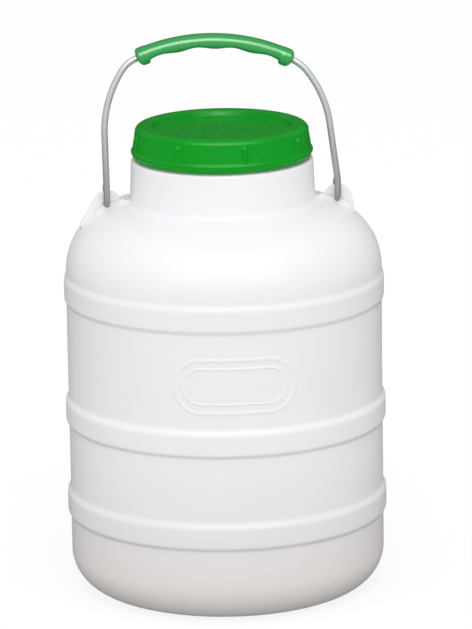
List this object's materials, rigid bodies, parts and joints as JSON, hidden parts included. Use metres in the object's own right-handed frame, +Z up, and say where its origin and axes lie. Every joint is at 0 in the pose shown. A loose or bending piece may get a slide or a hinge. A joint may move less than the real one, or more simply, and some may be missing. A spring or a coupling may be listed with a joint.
{
  "type": "plastic jerrycan",
  "caption": "Round wide-mouth plastic canister with banded wall, ribbed screw lid, two shoulder ears and a swinging wire bail with a moulded finger grip.",
  "frame": {"origin": "centre of the flat base, on the surface the canister stands on", "axes": "+Z up along the canister's axis, -Y the front with the label frame, the two ears along X"},
  "size_m": [0.229, 0.229, 0.4016],
  "materials": {
    "body_plastic": "satin blow-moulded polyethylene",
    "lid_plastic": "smooth injection-moulded, soft gloss",
    "wire_steel": "drawn and zinc-plated, bright",
    "grip_plastic": "smooth injection-moulded, soft gloss"
  },
  "bodies": {
    "container": {"canister": "body_plastic", "lid": "lid_plastic"},
    "bail": {"bail_wire": "wire_steel", "grip": "grip_plastic"}
  },
  "joints": [
    {"name": "bail_hinge", "type": "hinge", "parent": "container", "child": "bail", "pos_m": [0, 0, 0.28701], "axis": [1, 0, 0], "range_deg": [-100, 92]}
  ]
}
